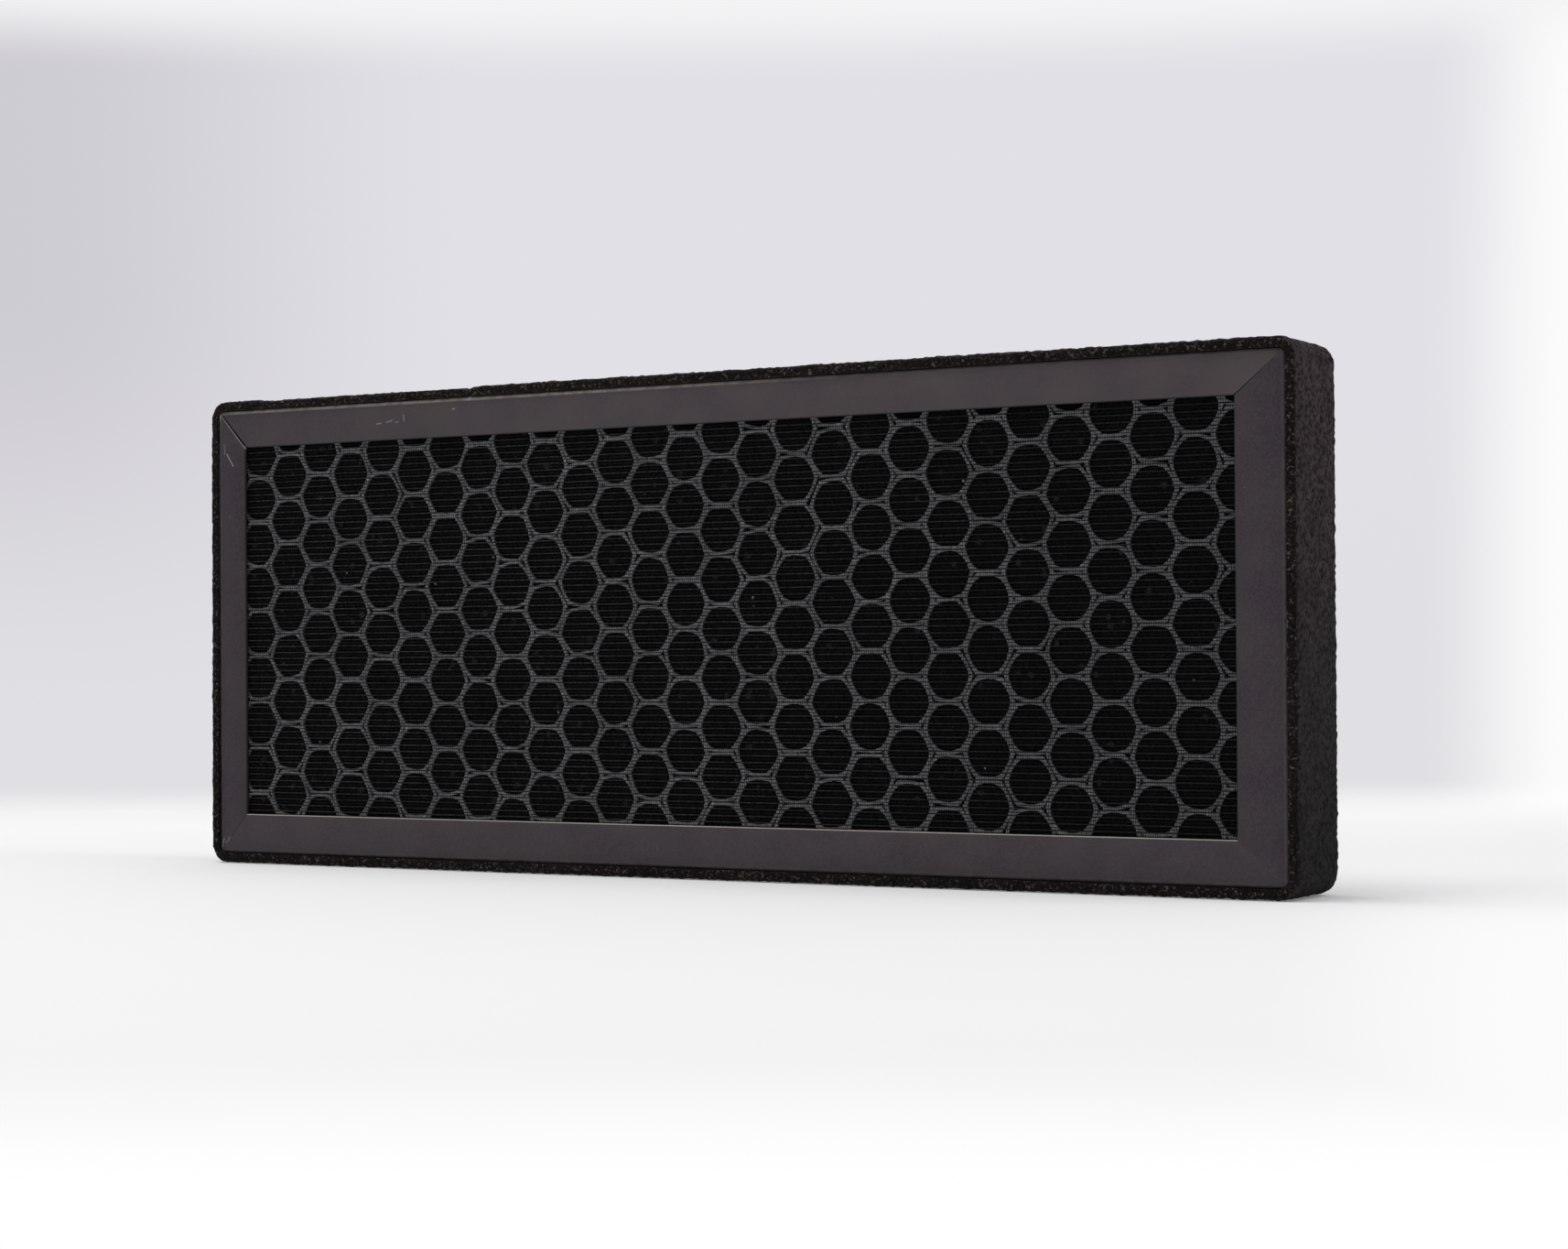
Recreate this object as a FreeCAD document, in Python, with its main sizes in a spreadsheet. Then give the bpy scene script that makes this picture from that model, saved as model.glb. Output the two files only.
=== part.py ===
import FreeCAD, Part
import Sketcher
import math
import os

# Replacement filter cassette for a small air purifier.
# One strip of black card is folded into a channel and wrapped round the pack. Behind its front
# window lie a fine net and a honeycomb of carbon granules, and behind those a pleated paper.
# A strip of soft foam round the outside seals the cassette in its slot.
#
# Millimetres. X runs along the cassette, Y from the front window to the back, and Z is up.
# The cassette stands on its long foam edge, and the origin is under the middle of it.

# Sizes that are chosen. Each is written once, and everything else is worked out from them.
SIZES = {
    # Card frame, measured over the outside of the folded card
    "card_length": 203.4,
    "card_height": 79.2,
    "card_thickness": 0.6,
    # Bevel along the outside of each fold, where the card is creased
    "fold_bevel": 0.5,
    # Widths of the four flanges that frame the window
    "flange_left": 6.6,
    "flange_right": 8.0,
    "flange_top": 6.8,
    "flange_bottom": 7.0,
    # Mitred seams of the flanges, and the wider one where the two ends of the strip meet
    "seam_gap": 0.16,
    "open_seam_gap": 0.5,
    # Foam strip
    "foam_thickness": 1.8,
    "foam_setback": 0.2,
    "foam_joint_x": -46.0,
    "foam_joint_mouth": 1.2,
    "foam_joint_root": 0.3,
    # Room round the net and honeycomb panel inside the card walls
    "panel_clearance": 0.5,
    # Nets either side of the honeycomb: rows of thread with open rows between them
    "net_thickness": 0.25,
    "net_row_pitch": 1.08,
    "net_thread": 0.28,
    "back_row_pitch": 4.32,
    # How far the open rows run on under the side flanges
    "net_overlap": 1.0,
    # Honeycomb, its first cell measured from the top left corner of the window
    "core_depth": 5.0,
    "cell_pitch": 8.0,
    "cell_wall": 0.65,
    "first_cell_across": 2.4,
    "first_cell_down": 1.4,
    # Carbon granules in each cell
    "granule_depth": 4.0,
    "granule_clearance": 0.1,
    # Pleated paper and the hot melt glue that seals and spaces it
    "pleat_depth": 10.0,
    "pleat_pitch": 3.8,
    "paper_thickness": 0.35,
    "sealant_width": 1.2,
    "bead_count": 3,
    "bead_width": 1.8,
    "bead_height": 0.5,
    # How far each glue line stops short of the window's sides
    "bead_end_gap": 1.5,
}

# Places and sizes that follow from those above, as formulas of the sheet
DERIVED = {
    "card_depth": "2 * card_thickness + 2 * net_thickness + core_depth + pleat_depth",
    "foam_depth": "card_depth - 2 * foam_setback",
    "foam_corner": "fold_bevel + foam_thickness",
    "cavity_depth": "card_depth - 2 * card_thickness",
    # Outside of the card
    "card_left": "-card_length / 2",
    "card_right": "card_length / 2",
    "card_bottom": "foam_thickness",
    "card_top": "card_bottom + card_height",
    # Outside of the foam
    "foam_left": "card_left - foam_thickness",
    "foam_right": "card_right + foam_thickness",
    "foam_bottom": "card_bottom - foam_thickness",
    "foam_top": "card_top + foam_thickness",
    # Window in each face
    "window_left": "card_left + flange_left",
    "window_right": "card_right - flange_right",
    "window_bottom": "card_bottom + flange_bottom",
    "window_top": "card_top - flange_top",
    # Room inside the card walls
    "cavity_left": "card_left + card_thickness",
    "cavity_right": "card_right - card_thickness",
    "cavity_bottom": "card_bottom + card_thickness",
    "cavity_top": "card_top - card_thickness",
    # Net and honeycomb panel
    "panel_left": "cavity_left + panel_clearance",
    "panel_right": "cavity_right - panel_clearance",
    "panel_bottom": "cavity_bottom + panel_clearance",
    "panel_top": "cavity_top - panel_clearance",
    # Pleated pack inside its seal
    "pack_left": "cavity_left + sealant_width",
    "pack_right": "cavity_right - sealant_width",
    "pack_bottom": "cavity_bottom + sealant_width",
    "pack_top": "cavity_top - sealant_width",
    # First open row of each net
    "front_row_left": "window_left - net_overlap",
    "front_row_right": "window_right + net_overlap",
    "front_row_bottom": "window_bottom + net_thread / 2",
    "front_row_top": "window_bottom + net_row_pitch - net_thread / 2",
    "front_rows": "floor((window_top - window_bottom) / net_row_pitch)",
    "back_row_left": "front_row_left",
    "back_row_right": "front_row_right",
    "back_row_bottom": "window_bottom + net_thread / 2",
    "back_row_top": "window_bottom + back_row_pitch - net_thread / 2",
    "back_rows": "floor((window_top - window_bottom) / back_row_pitch)",
    # Front of each layer, from the front window to the back
    "front_face": "-card_depth / 2",
    "front_net_face": "front_face + card_thickness",
    "core_face": "front_net_face + net_thickness",
    "back_net_face": "core_face + core_depth",
    "granule_face": "back_net_face - granule_depth",
    "pleat_face": "back_net_face + net_thickness",
    "pleat_back": "pleat_face + pleat_depth",
}

document = FreeCAD.newDocument("filter_cassette")
sheet = document.addObject("Spreadsheet::Sheet", "sizes")


def fill_sheet():
    """Writes the name of each size in column A and its number or formula in column B."""
    formulas = {alias: "=" + formula for alias, formula in DERIVED.items()}
    entries = {**SIZES, **formulas}
    for row, (alias, value) in enumerate(entries.items(), start=1):
        sheet.set(f"A{row}", alias)
        sheet.setAlias(f"B{row}", alias)
        sheet.set(f"B{row}", str(value))
    document.recompute()


def size(alias):
    """The value of one size in the sheet."""
    return float(sheet.get(alias))


def new_body(label):
    """A body for one piece of the cassette, at the cassette's own origin."""
    body = document.addObject("PartDesign::Body", label)
    body.Label = label
    body.Placement = FreeCAD.Placement()
    return body


def origin_feature(body, role):
    """The plane or axis of the body's own origin that has the given role."""
    return next(item for item in body.Origin.OriginFeatures if item.Role == role)


def bind_corner(sketch, line, axis, expression):
    """Holds the start of a line at a signed distance from the sketch's origin."""
    value = sheet.evalExpression(expression)
    origin = (-1, 1)
    corner = (line, 1)
    if value == 0:
        across = -2 if axis == "X" else -1
        sketch.addConstraint(Sketcher.Constraint("PointOnObject", line, 1, across))
        return
    ends = origin + corner if value > 0 else corner + origin
    index = sketch.addConstraint(Sketcher.Constraint(f"Distance{axis}", *ends, abs(value)))
    sketch.setExpression(f"Constraints[{index}]", expression if value > 0 else f"-({expression})")


def outline(body, label, loops, face=None):
    """A sketch of straight-sided loops facing the front, whose corners follow the sheet.

    Each corner is a pair of expressions, across and up. The sketch lies in the middle of the
    cassette, or on the face whose alias is given.
    """
    sketch = body.newObject("Sketcher::SketchObject", label)
    sketch.AttachmentSupport = [(origin_feature(body, "XZ_Plane"), "")]
    sketch.MapMode = "FlatFace"
    if face:
        # The plane's normal looks out of the front, against Y.
        sketch.setExpression("AttachmentOffset.Base.z", f"-sizes.{face}")
    for corners in loops:
        first = sketch.GeometryCount
        places = [
            FreeCAD.Vector(sheet.evalExpression(across), sheet.evalExpression(up), 0)
            for across, up in corners
        ]
        for start, end in zip(places, places[1:] + places[:1]):
            sketch.addGeometry(Part.LineSegment(start, end), False)
        for step, (across, up) in enumerate(corners):
            line = first + step
            following = first + (step + 1) % len(corners)
            sketch.addConstraint(Sketcher.Constraint("Coincident", line, 2, following, 1))
            bind_corner(sketch, line, "X", across)
            bind_corner(sketch, line, "Y", up)
    return sketch


def rectangle(name):
    """Corners of the rectangle whose four sides have aliases that start with a name."""
    left, right = f"sizes.{name}_left", f"sizes.{name}_right"
    bottom, top = f"sizes.{name}_bottom", f"sizes.{name}_top"
    return [(left, bottom), (right, bottom), (right, top), (left, top)]


def pad(body, label, sketch, length, centred=False):
    """Material from a sketch, either side of it or backwards from it."""
    feature = body.newObject("PartDesign::Pad", label)
    feature.Profile = sketch
    feature.setExpression("Length", length)
    if centred:
        feature.SideType = "Symmetric"
    else:
        feature.Reversed = True
    document.recompute()
    return feature


def pocket(body, label, sketch, length=None, centred=False):
    """A cut from a sketch, to a length or right through."""
    feature = body.newObject("PartDesign::Pocket", label)
    feature.Profile = sketch
    if centred:
        feature.SideType = "Symmetric"
    if length:
        feature.setExpression("Length", length)
    else:
        feature.Type = "ThroughAll"
    document.recompute()
    return feature


def finish_edges(body, label, kind, chosen, amount):
    """Fillets or chamfers the edges of the body's last feature for which the test holds."""
    base = body.Tip
    edges = base.Shape.Edges
    names = [f"Edge{index}" for index, edge in enumerate(edges, start=1) if chosen(edge)]
    feature = body.newObject(f"PartDesign::{kind}", label)
    feature.Base = (base, names)
    feature.setExpression("Radius" if kind == "Fillet" else "Size", amount)
    document.recompute()
    return feature


def runs_front_to_back(edge):
    """True for a straight edge that runs along Y."""
    box = edge.BoundBox
    return box.YLength > box.XLength + box.ZLength


def slit(outer, inner, gap):
    """Corners of a narrow cut between two points, as wide across as the gap."""
    half = f"sizes.{gap} / 2"
    return [
        (f"{outer[0]} - {half}", outer[1]),
        (f"{outer[0]} + {half}", outer[1]),
        (f"{inner[0]} + {half}", inner[1]),
        (f"{inner[0]} - {half}", inner[1]),
    ]


def make_card_frame():
    """The folded card: walls all round, and mitred flanges at the front and the back."""
    body = new_body("card_frame")
    block = outline(body, "card_outline", [rectangle("card")])
    pad(body, "card_block", block, "sizes.card_depth", centred=True)
    finish_edges(body, "creases", "Chamfer", lambda edge: True, "sizes.fold_bevel")

    cavity = outline(body, "cavity_outline", [rectangle("cavity")])
    pocket(body, "cavity", cavity, "sizes.cavity_depth", centred=True)

    window = outline(body, "window_outline", [rectangle("window")])
    pocket(body, "windows", window, centred=True)

    seams = []
    for side, level in (("left", "bottom"), ("right", "bottom"), ("right", "top"), ("left", "top")):
        outer = (f"sizes.card_{side}", f"sizes.card_{level}")
        inner = (f"sizes.window_{side}", f"sizes.window_{level}")
        strip_ends_meet = (side, level) == ("left", "top")
        seams.append(slit(outer, inner, "open_seam_gap" if strip_ends_meet else "seam_gap"))
    seam_lines = outline(body, "seam_lines", seams, face="front_face")
    front_seams = pocket(body, "front_seams", seam_lines, "sizes.card_thickness")
    back_seams = body.newObject("PartDesign::Mirrored", "back_seams")
    back_seams.Originals = [front_seams]
    back_seams.MirrorPlane = (origin_feature(body, "XZ_Plane"), [""])
    body.Tip = back_seams
    document.recompute()

    # The strip's two ends meet at the top left corner and leave the wall open there.
    outer = ("sizes.card_left", "sizes.card_top")
    inner = ("sizes.cavity_left", "sizes.cavity_top")
    joint = outline(body, "strip_joint_lines", [slit(outer, inner, "open_seam_gap")])
    pocket(body, "strip_joint", joint, centred=True)
    return body


def make_foam_seal():
    """The foam strip: wound round the card from joint to joint, with softly rounded edges."""
    body = new_body("foam_seal")
    block = outline(body, "foam_outline", [rectangle("foam")])
    pad(body, "foam_block", block, "sizes.foam_depth", centred=True)
    finish_edges(body, "bends", "Fillet", runs_front_to_back, "sizes.foam_corner")
    opening = outline(body, "foam_opening_outline", [rectangle("card")])
    pocket(body, "foam_opening", opening, centred=True)

    mouth, root = "sizes.foam_joint_mouth / 2", "sizes.foam_joint_root / 2"
    notch = [
        (f"sizes.foam_joint_x - {root}", "sizes.card_top"),
        (f"sizes.foam_joint_x + {root}", "sizes.card_top"),
        (f"sizes.foam_joint_x + {mouth}", "sizes.foam_top"),
        (f"sizes.foam_joint_x - {mouth}", "sizes.foam_top"),
    ]
    joint = outline(body, "joint_outline", [notch])
    pocket(body, "joint", joint, centred=True)
    return body


def make_net(side, face, row_pitch):
    """A net that keeps the granules in: one wall with open rows between rows of thread."""
    body = new_body(f"{side}_net")
    panel = outline(body, f"{side}_net_outline", [rectangle("panel")], face=face)
    pad(body, f"{side}_net_wall", panel, "sizes.net_thickness")
    row = outline(body, f"{side}_row_outline", [rectangle(f"{side}_row")], face=face)
    first_row = pocket(body, f"{side}_first_row", row)
    rows = body.newObject("PartDesign::LinearPattern", f"{side}_open_rows")
    rows.Originals = [first_row]
    rows.Direction = (origin_feature(body, "Z_Axis"), [""])
    rows.Mode = "Spacing"
    rows.setExpression("Offset", f"sizes.{row_pitch}")
    rows.setExpression("Occurrences", f"sizes.{side}_rows")
    body.Tip = rows
    return body


def cell_centres():
    """Across and up places of the cells whose opening shows in the window, column by column."""
    pitch = size("cell_pitch")
    opening = pitch - size("cell_wall")
    column_pitch = pitch * math.sqrt(3) / 2
    reach_across = opening / math.sqrt(3)
    reach_up = opening / 2
    columns = math.ceil((size("window_right") - size("window_left")) / column_pitch) + 1
    rows = math.ceil((size("window_top") - size("window_bottom")) / pitch) + 1
    centres = []
    for column in range(-1, columns):
        across = size("window_left") + size("first_cell_across") + column * column_pitch
        if across + reach_across <= size("window_left"):
            continue
        if across - reach_across >= size("window_right"):
            continue
        stagger = pitch / 2 if column % 2 else 0
        for row in range(-1, rows):
            up = size("window_top") - size("first_cell_down") - stagger - row * pitch
            if up - reach_up < size("window_top") and up + reach_up > size("window_bottom"):
                centres.append((across, up))
    return centres


def hexagon(centre, across_flats):
    """A six-sided face in the XZ plane with a flat side at the top."""
    sides = 6
    radius = across_flats / math.sqrt(3)
    corners = [
        FreeCAD.Vector(
            centre[0] + radius * math.cos(2 * math.pi * corner / sides),
            0,
            centre[1] + radius * math.sin(2 * math.pi * corner / sides),
        )
        for corner in range(sides)
    ]
    return Part.Face(Part.makePolygon(corners + corners[:1]))


def new_shape(label, shape, face):
    """A piece from a shape drawn at Y = 0, moved back to the face whose alias is given."""
    feature = document.addObject("Part::Feature", label)
    feature.Label = label
    feature.Shape = shape
    feature.Placement = FreeCAD.Placement(FreeCAD.Vector(0, size(face), 0), FreeCAD.Rotation())
    return feature


def make_honeycomb_core():
    """The honeycomb: staggered cells with thin walls, cut from sheet to fit the frame."""
    panel = Part.makePlane(
        size("panel_right") - size("panel_left"),
        size("panel_top") - size("panel_bottom"),
        FreeCAD.Vector(size("panel_left"), 0, size("panel_bottom")),
        FreeCAD.Vector(0, -1, 0),
        FreeCAD.Vector(1, 0, 0),
    )
    opening = size("cell_pitch") - size("cell_wall")
    cells = Part.makeCompound([hexagon(centre, opening) for centre in cell_centres()])
    section = panel.cut(cells)
    core = section.extrude(FreeCAD.Vector(0, size("core_depth"), 0))
    return new_shape("honeycomb_core", core.Solids[0], "core_face")


def make_carbon_granules():
    """The carbon: one plug of packed granules in each whole cell, settled against the back net."""
    opening = size("cell_pitch") - size("cell_wall")
    across_flats = opening - 2 * size("granule_clearance")
    highest = size("panel_top") - opening / 2
    depth = FreeCAD.Vector(0, size("granule_depth"), 0)
    plugs = [
        hexagon(centre, across_flats).extrude(depth)
        for centre in cell_centres()
        if centre[1] < highest
    ]
    return new_shape("carbon_granules", Part.makeCompound(plugs), "granule_face")


def make_pleated_paper():
    """The fine filter: one sheet of paper folded to and fro, with upright folds."""
    depth = size("pleat_depth")
    length = size("pack_right") - size("pack_left")
    folds = 2 * round(length / size("pleat_pitch"))
    run = length / folds
    # Front to back, a steep sheet measures more than its thickness.
    sheet_depth = size("paper_thickness") * math.hypot(run, depth) / run
    front = [
        FreeCAD.Vector(
            size("pack_left") + fold * run,
            (depth - sheet_depth) if fold % 2 else 0,
            size("pack_bottom"),
        )
        for fold in range(folds + 1)
    ]
    back = [point + FreeCAD.Vector(0, sheet_depth, 0) for point in reversed(front)]
    section = Part.Face(Part.makePolygon(front + back + front[:1]))
    height = size("pack_top") - size("pack_bottom")
    return new_shape("pleated_paper", section.extrude(FreeCAD.Vector(0, 0, height)), "pleat_face")


def make_edge_sealant():
    """The hot melt glue that fills the room between the pleated pack and the card walls."""
    body = new_body("edge_sealant")
    ring = outline(body, "sealant_outline", [rectangle("cavity")], face="pleat_face")
    pad(body, "sealant_block", ring, "sizes.pleat_depth")
    pack = outline(body, "pack_outline", [rectangle("pack")], face="pleat_face")
    pocket(body, "pack_room", pack)
    return body


def make_glue_beads():
    """The glue lines that hold the folds apart at the back, each flat below and narrower on top."""
    left = size("window_left") + size("bead_end_gap")
    length = size("window_right") - size("bead_end_gap") - left
    half_foot = size("bead_width") / 2
    half_crown = half_foot - size("bead_height")
    spacing = (size("window_top") - size("window_bottom")) / (size("bead_count") + 1)
    beads = []
    for bead in range(1, int(size("bead_count")) + 1):
        middle = size("window_bottom") + bead * spacing
        profile = [
            FreeCAD.Vector(left, 0, middle - half_foot),
            FreeCAD.Vector(left, 0, middle + half_foot),
            FreeCAD.Vector(left, size("bead_height"), middle + half_crown),
            FreeCAD.Vector(left, size("bead_height"), middle - half_crown),
        ]
        section = Part.Face(Part.makePolygon(profile + profile[:1]))
        beads.append(section.extrude(FreeCAD.Vector(length, 0, 0)))
    return new_shape("glue_beads", Part.makeCompound(beads), "pleat_back")


def check(pieces):
    """Stops where an object failed or a piece isn't a sound solid."""
    for item in document.Objects:
        if "Invalid" in item.State or "Error" in item.State:
            raise RuntimeError(f"{item.Label} failed: {item.State}")
    for piece in pieces:
        shape = piece.Shape
        if shape.isNull() or not shape.isValid() or not shape.Solids:
            raise RuntimeError(f"{piece.Label} has no sound solid")


def export(pieces):
    """Writes each piece to a file named by its label."""
    os.makedirs("parts", exist_ok=True)
    for piece in pieces:
        piece.Shape.exportStep(f"parts/{piece.Label}.step")
        box = piece.Shape.BoundBox
        print(
            f"{piece.Label}: {len(piece.Shape.Solids)} solids,"
            f" {box.XLength:.2f} x {box.YLength:.2f} x {box.ZLength:.2f} mm,"
            f" {piece.Shape.Volume / 1000:.2f} cm3"
        )


fill_sheet()
cassette = [
    make_card_frame(),
    make_foam_seal(),
    make_net("front", "front_net_face", "net_row_pitch"),
    make_honeycomb_core(),
    make_carbon_granules(),
    make_net("back", "back_net_face", "back_row_pitch"),
    make_pleated_paper(),
    make_edge_sealant(),
    make_glue_beads(),
]
document.recompute()
check(cassette)
export(cassette)
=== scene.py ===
# %% [markdown]
# A filter cassette for a small air purifier, dressed for its picture. The CAD model gives the
# sizes and the place of every piece, and this lesson gives each piece the shape and finish that a
# drawing leaves out: creased card, porous foam, a fine net, bonded tubes, loose carbon and folded
# paper.

# %% Load the cassette
import bmesh
import bpy
import math
import random
from mathutils import Matrix, Vector, noise


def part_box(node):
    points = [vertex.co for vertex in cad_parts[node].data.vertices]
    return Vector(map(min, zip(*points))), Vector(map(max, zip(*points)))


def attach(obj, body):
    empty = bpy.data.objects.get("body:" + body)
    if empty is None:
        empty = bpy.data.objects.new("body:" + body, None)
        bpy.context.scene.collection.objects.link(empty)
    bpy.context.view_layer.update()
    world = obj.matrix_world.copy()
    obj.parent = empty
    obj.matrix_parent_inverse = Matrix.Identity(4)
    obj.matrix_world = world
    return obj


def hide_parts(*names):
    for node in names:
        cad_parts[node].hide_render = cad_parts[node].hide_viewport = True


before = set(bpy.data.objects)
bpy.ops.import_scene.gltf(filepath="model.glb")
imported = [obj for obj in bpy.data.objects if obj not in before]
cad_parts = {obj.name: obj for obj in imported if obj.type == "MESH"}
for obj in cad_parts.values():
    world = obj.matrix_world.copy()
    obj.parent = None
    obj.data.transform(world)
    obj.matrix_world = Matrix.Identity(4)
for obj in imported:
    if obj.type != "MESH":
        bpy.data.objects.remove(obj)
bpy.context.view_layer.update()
MM = 0.001
ACROSS, INWARDS, UP = Vector((1, 0, 0)), Vector((0, 1, 0)), Vector((0, 0, 1))

# %% [markdown]
# Sizes come from the CAD nodes, each read as a box. Only the widths of the card frame's four
# flanges are written here, because a box can't show the window between them.


# %% Measure the nodes that will be dressed
def corners_of(node_name):
    """The lowest and the highest corner of a CAD node's box."""
    return [Vector(corner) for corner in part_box(node_name)]


card_low, card_high = corners_of("card_frame")
foam_low, foam_high = corners_of("foam_seal")
net_low, net_high = corners_of("front_net")
core_low, core_high = corners_of("honeycomb_core")
carbon_low, carbon_high = corners_of("carbon_granules")
paper_low, paper_high = corners_of("pleated_paper")
glue_low, glue_high = corners_of("glue_beads")

card_thickness = 0.6 * MM
left_flange, right_flange, top_flange, bottom_flange = 6.6 * MM, 8.0 * MM, 6.8 * MM, 7.0 * MM
window_left = card_low.x + left_flange
window_right = card_high.x - right_flange
window_top = card_high.z - top_flange
window_bottom = card_low.z + bottom_flange
window_size = (window_right - window_left, window_top - window_bottom)
print("window in mm:", [round(size / MM, 1) for size in window_size])

# %% [markdown]
# The camera stands low and to the right, about half a metre away, and looks up by less than a
# degree, so upright edges stay nearly upright. Its axes were found from the corners of the card
# frame, and the frame's two long edges meet far outside the picture on the left.

# %% Camera
camera_place = Vector((265.67, -426.94, 34.78)) * MM
camera_forward = Vector((-0.51113, 0.8594, 0.01347)).normalized()
camera_right = Vector((0.85943, 0.51123, -0.00516))
camera_right = (camera_right - camera_forward * camera_right.dot(camera_forward)).normalized()
camera_up = camera_right.cross(camera_forward)
lens_data = bpy.data.cameras.new("camera")
lens_data.sensor_width = 36.0
lens_data.sensor_fit = "HORIZONTAL"
lens_data.lens = 70.03
camera = bpy.data.objects.new("camera", lens_data)
axes = Matrix((camera_right, camera_up, -camera_forward)).transposed().to_4x4()
camera.matrix_world = Matrix.Translation(camera_place) @ axes
bpy.context.scene.collection.objects.link(camera)
bpy.context.scene.camera = camera
bpy.context.scene.view_settings.view_transform = "Standard"
print("camera is", round(camera_place.length, 3), "m from the cassette's foot")

# %% [markdown]
# Materials here are node trees. A few helpers add a node, calculate with it and mix colours, and
# a colour is written as it is read off a screen, with three levels from 0 to 255.


# %% Helpers for node trees
def is_link(value):
    """Whether a value comes from another node."""
    return isinstance(value, bpy.types.NodeSocket)


def join(value, target):
    """Links a node's output to a socket of the same tree."""
    value.id_data.links.new(value, target)


def add_node(kind, sockets, tree=None, **settings):
    """A node with settings, and numbers or links on its sockets, in the tree of those links."""
    tree = tree or next(value.id_data for value in sockets.values() if is_link(value))
    made = tree.nodes.new(kind)
    for name, value in settings.items():
        setattr(made, name, value)
    for socket, value in sockets.items():
        if is_link(value):
            join(value, made.inputs[socket])
        else:
            made.inputs[socket].default_value = value
    return made


def calculate(operation, first, second, clamp=False):
    """The output of one Math node."""
    sockets = {0: first, 1: second}
    return add_node("ShaderNodeMath", sockets, operation=operation, use_clamp=clamp).outputs[0]


def times(first, second):
    """The product of two numbers."""
    return calculate("MULTIPLY", first, second)


def vector_math(operation, first, second):
    """The output of one Vector Math node, a number for a product or a distance."""
    sockets = {0: first, "Scale" if operation == "SCALE" else 1: second}
    made = add_node("ShaderNodeVectorMath", sockets, operation=operation)
    return made.outputs["Value" if operation in ("DOT_PRODUCT", "DISTANCE") else "Vector"]


def parts_of(vector):
    """The X, Y and Z of a vector."""
    return add_node("ShaderNodeSeparateXYZ", {"Vector": vector}).outputs


def ramp(value, low, high, start=0.0, end=1.0):
    """A value that goes smoothly from start to end while the input goes from low to high."""
    sockets = {"Value": value, "From Min": low, "From Max": high, "To Min": start, "To Max": end}
    made = add_node("ShaderNodeMapRange", sockets, interpolation_type="SMOOTHSTEP")
    return made.outputs["Result"]


# %% Helpers for colours
def screen_colour(red, green, blue):
    """A colour of a screen, from 0 to 255, as Blender's linear colour."""
    linear = []
    for level in (red / 255, green / 255, blue / 255):
        linear.append(level / 12.92 if level <= 0.04045 else ((level + 0.055) / 1.055) ** 2.4)
    return (*linear, 1.0)


def mix_colour(factor, first, second):
    """A colour between two others, where each is a link or the three levels of a screen."""
    made = add_node("ShaderNodeMix", {"Factor": factor}, data_type="RGBA")
    for socket, value in (("A_Color", first), ("B_Color", second)):
        target = next(item for item in made.inputs if item.identifier == socket)
        if is_link(value):
            join(value, target)
        else:
            target.default_value = screen_colour(*value)
    return next(item for item in made.outputs if item.identifier == "Result_Color")


def painted(colour, *coats):
    """A colour under coats of paint, each with its mask, its colour and maybe a strength."""
    for mask, paint, *strength in coats:
        if strength:
            mask = times(mask, *strength)
        colour = mix_colour(mask, colour, paint)
    return colour


# %% [markdown]
# Six effects come back in several places, so each is a node group with its own inputs: grain, worn
# edges, fine scratches, pores, specks of dust or of painted glint, and one short stroke. A group
# gives only masks and heights. The shader stays in each material.


# %% Helpers for node groups
def new_group(name, inputs, outputs=("Mask",)):
    """An empty node group, its given sockets and its result's. An input of None is a vector."""
    group = bpy.data.node_groups.new(name, "ShaderNodeTree")
    for label, value in {"Vector": None, **inputs}.items():
        kind = "NodeSocketVector" if value is None else "NodeSocketFloat"
        socket = group.interface.new_socket(label, in_out="INPUT", socket_type=kind)
        if value is not None:
            socket.default_value = value
    for label in outputs:
        group.interface.new_socket(label, in_out="OUTPUT", socket_type="NodeSocketFloat")
    start = group.nodes.new("NodeGroupInput")
    end = group.nodes.new("NodeGroupOutput")
    return group, start.outputs, end.inputs


def scaled(given):
    """The given place divided by the given size, so that a pattern has about that size."""
    return vector_math("SCALE", given["Vector"], calculate("DIVIDE", 1.0, given["Size"]))


def noise_at(places, **sockets):
    """The value of soft noise at a place."""
    sockets = {"Vector": places, "Scale": 1.0, **sockets}
    return add_node("ShaderNodeTexNoise", sockets).outputs["Fac"]


def cells_at(places, feature="F1"):
    """What a cell pattern knows about a place."""
    sockets = {"Vector": places, "Scale": 1.0, "Randomness": 1.0}
    return add_node("ShaderNodeTexVoronoi", sockets, feature=feature).outputs


# %% Group: grain of paper, plastic and glue
grain_group, given, result = new_group("grain", {"Size": 0.001}, ["Value"])
join(ramp(noise_at(scaled(given), Detail=4.0), 0.3, 0.7), result["Value"])

# %% Group: edges where the dark surface is rubbed off
wear_group, given, result = new_group("worn_edges", {"Edge": 0.0, "Size": 0.004, "Amount": 0.5})
rubbed = ramp(noise_at(scaled(given), Detail=5.0), 0.45, 0.6)
rubbed = calculate("ADD", rubbed, given["Amount"], clamp=True)
join(calculate("MULTIPLY", rubbed, given["Edge"], clamp=True), result["Mask"])

# %% Group: fine scratches in one direction
scratch_group, given, result = new_group("scratches", {"Size": 0.01, "Share": 0.1})
places = scaled(given)
from_line = cells_at(places, feature="DISTANCE_TO_EDGE")["Distance"]
patch = noise_at(places, Scale=1.7, Detail=2.0)
limit = calculate("SUBTRACT", 0.75, given["Share"])
kept = ramp(patch, limit, calculate("ADD", limit, 0.06))
join(times(ramp(from_line, 0.004, 0.02, 1.0, 0.0), kept), result["Mask"])

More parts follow.
